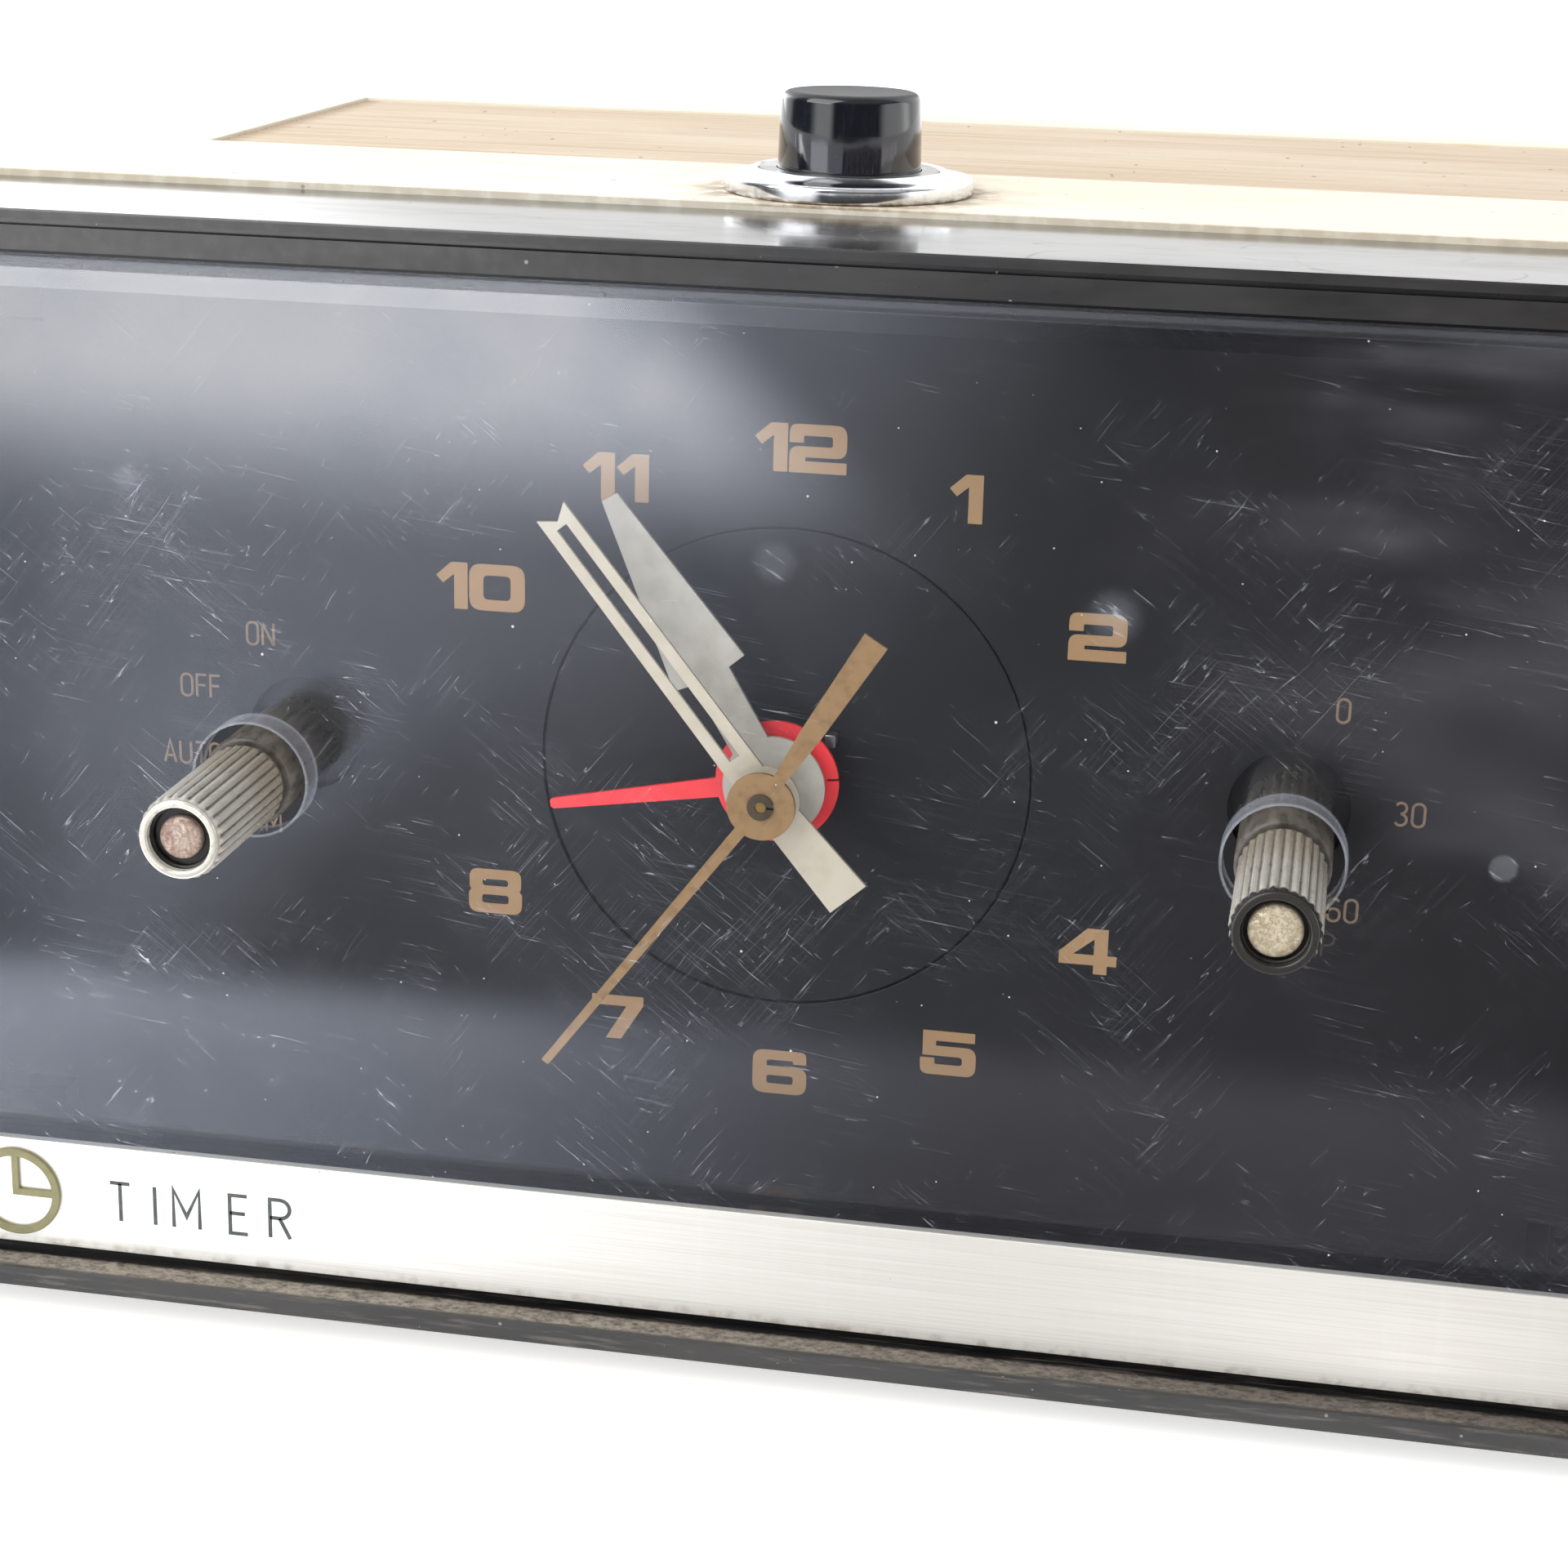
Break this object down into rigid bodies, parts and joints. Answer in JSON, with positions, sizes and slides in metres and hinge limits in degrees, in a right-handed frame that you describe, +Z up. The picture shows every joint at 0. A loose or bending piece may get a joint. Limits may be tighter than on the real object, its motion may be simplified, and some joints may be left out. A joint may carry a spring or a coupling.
{
  "type": "mains clock timer",
  "caption": "Mains clock timer: black-framed clear window over a dark dial with hour, minute, second and switching hands, two knurled knobs and a push button on an ivory case.",
  "frame": {"origin": "under the middle of the whole object, on the surface that the feet stand on", "axes": "+X to the right seen from the front, +Y to the back, +Z up"},
  "size_m": [0.168, 0.1322, 0.1144],
  "materials": {
    "case_ivory": "satin moulded plastic, yellowed and dusty",
    "panel_tan": "finely ribbed tan plastic",
    "frame_black": "glossy black plastic with scratches and dust",
    "window_clear": "clear acrylic with fine scratches",
    "trim_metal": "brushed along its length",
    "emblem_olive": "olive gold enamel",
    "dial_dark": "dark blue-grey, satin",
    "bronze_print": "satin bronze",
    "hand_cream": "satin cream paint",
    "hand_grey": "satin grey-white paint",
    "hand_red": "satin red paint",
    "bright_steel": "turned steel",
    "clock_brass": "stamped and turned brass",
    "knob_black": "dark plastic",
    "knob_metal": "metallised, worn",
    "disc_metal": "worn and pitted",
    "cover_black": "matt moulded plastic",
    "rubber_black": "matt rubber",
    "switch_brown": "phenolic",
    "nylon_natural": "natural nylon",
    "winding_copper": "enamelled copper wire",
    "core_iron": "stacked laminations",
    "ring_chrome": "polished chrome with brown dust at its edge",
    "button_black": "polished black plastic",
    "spring_steel": "wire"
  },
  "bodies": {
    "case": {"case_shell": "case_ivory", "reeded_panel": "panel_tan", "front_frame": "frame_black", "window": "window_clear", "trim_strip": "trim_metal", "emblem": "emblem_olive", "dial_plate": "dial_dark", "dial_disc": "dial_dark", "index_tab": "bright_steel", "button_barrel": "bright_steel", "button_nut": "bright_steel", "movement_pillars": "bright_steel", "rear_screws": "bright_steel", "inner_screws": "bright_steel", "movement_front_plate": "clock_brass", "movement_back_plate": "clock_brass", "motor_can": "clock_brass", "selector_contacts": "clock_brass", "interval_contacts": "clock_brass", "button_contacts": "clock_brass", "rear_cover": "cover_black", "outlet_socket": "cover_black", "feet": "rubber_black", "cord_gland": "rubber_black", "selector_switch": "switch_brown", "interval_switch": "switch_brown", "coil_bobbin": "nylon_natural", "coil_winding": "winding_copper", "stator_core": "core_iron", "button_ring": "ring_chrome", "button_spring": "spring_steel"},
    "selector": {"selector_shaft": "bright_steel", "selector_knob": "knob_black", "selector_sleeve": "knob_metal", "selector_disc": "disc_metal", "selector_cam": "nylon_natural"},
    "interval": {"interval_shaft": "bright_steel", "interval_knob": "knob_black", "interval_sleeve": "knob_metal", "interval_disc": "disc_metal", "interval_cam": "nylon_natural"},
    "button": {"button_cap": "button_black"},
    "second": {"second_hand": "bronze_print", "second_bush": "clock_brass", "second_wheel": "clock_brass"},
    "motor_drive": {"motor_pinion": "bright_steel"},
    "third": {"third_wheel": "clock_brass"},
    "centre": {"centre_wheel": "clock_brass"},
    "minute": {"minute_hand": "hand_cream", "minute_pipe": "bright_steel"},
    "motion": {"motion_wheel": "clock_brass"},
    "hour": {"hour_hand": "hand_grey", "hour_wheel": "clock_brass"},
    "auto": {"auto_hand": "hand_red", "auto_wheel": "clock_brass"},
    "time_set": {"time_set_shaft": "bright_steel", "time_set_knob": "knob_black"},
    "auto_set": {"auto_set_shaft": "bright_steel", "auto_set_knob": "knob_black"}
  },
  "joints": [
    {"name": "button_press", "type": "slide", "parent": "case", "child": "button", "axis": [0, 0, -1], "range_m": [0, 0.003], "stiffness_N_per_m": 400, "springref_m": -0.0015, "deforming": ["button_spring"]},
    {"name": "selector_turn", "type": "hinge", "parent": "case", "child": "selector", "pos_m": [-0.046, -0.02195, 0.0542], "axis": [0, 1, 0], "range_deg": [-84, 42]},
    {"name": "interval_turn", "type": "hinge", "parent": "case", "child": "interval", "pos_m": [0.046, -0.02195, 0.0542], "axis": [0, 1, 0], "range_deg": [0, 130]},
    {"name": "second_spin", "type": "hinge", "parent": "case", "child": "second", "pos_m": [0, -0.02195, 0.0542], "axis": [0, 1, 0], "continuous": true},
    {"name": "motor_spin", "type": "hinge", "parent": "case", "child": "motor_drive", "pos_m": [-0.01304, -0.02195, 0.05071], "axis": [0, 1, 0], "continuous": true},
    {"name": "third_spin", "type": "hinge", "parent": "case", "child": "third", "pos_m": [0.01325, -0.02195, 0.06185], "axis": [0, 1, 0], "continuous": true},
    {"name": "centre_spin", "type": "hinge", "parent": "case", "child": "centre", "pos_m": [0, -0.02195, 0.0542], "axis": [0, 1, 0], "continuous": true},
    {"name": "minute_spin", "type": "hinge", "parent": "case", "child": "minute", "pos_m": [0, -0.02195, 0.0542], "axis": [0, 1, 0], "continuous": true},
    {"name": "motion_spin", "type": "hinge", "parent": "case", "child": "motion", "pos_m": [0, -0.02195, 0.0422], "axis": [0, 1, 0], "continuous": true},
    {"name": "hour_spin", "type": "hinge", "parent": "case", "child": "hour", "pos_m": [0, -0.02195, 0.0542], "axis": [0, 1, 0], "continuous": true},
    {"name": "time_set_spin", "type": "hinge", "parent": "case", "child": "time_set", "pos_m": [0.01039, -0.02195, 0.0362], "axis": [0, 1, 0], "continuous": true},
    {"name": "auto_set_spin", "type": "hinge", "parent": "case", "child": "auto_set", "pos_m": [-0.00825, -0.02195, 0.06849], "axis": [0, 1, 0], "continuous": true},
    {"name": "auto_spin", "type": "hinge", "parent": "case", "child": "auto", "pos_m": [0, -0.02195, 0.0542], "axis": [0, 1, 0], "continuous": true}
  ],
  "couplings": [
    {"joint": "motor_spin", "follows": "second_spin", "ratio": -4},
    {"joint": "third_spin", "follows": "second_spin", "ratio": -0.13333},
    {"joint": "centre_spin", "follows": "second_spin", "ratio": 0.016667},
    {"joint": "motion_spin", "follows": "minute_spin", "ratio": -0.33333},
    {"joint": "hour_spin", "follows": "minute_spin", "ratio": 0.083333},
    {"joint": "time_set_spin", "follows": "minute_spin", "ratio": 1},
    {"joint": "auto_spin", "follows": "auto_set_spin", "ratio": -0.22222}
  ]
}
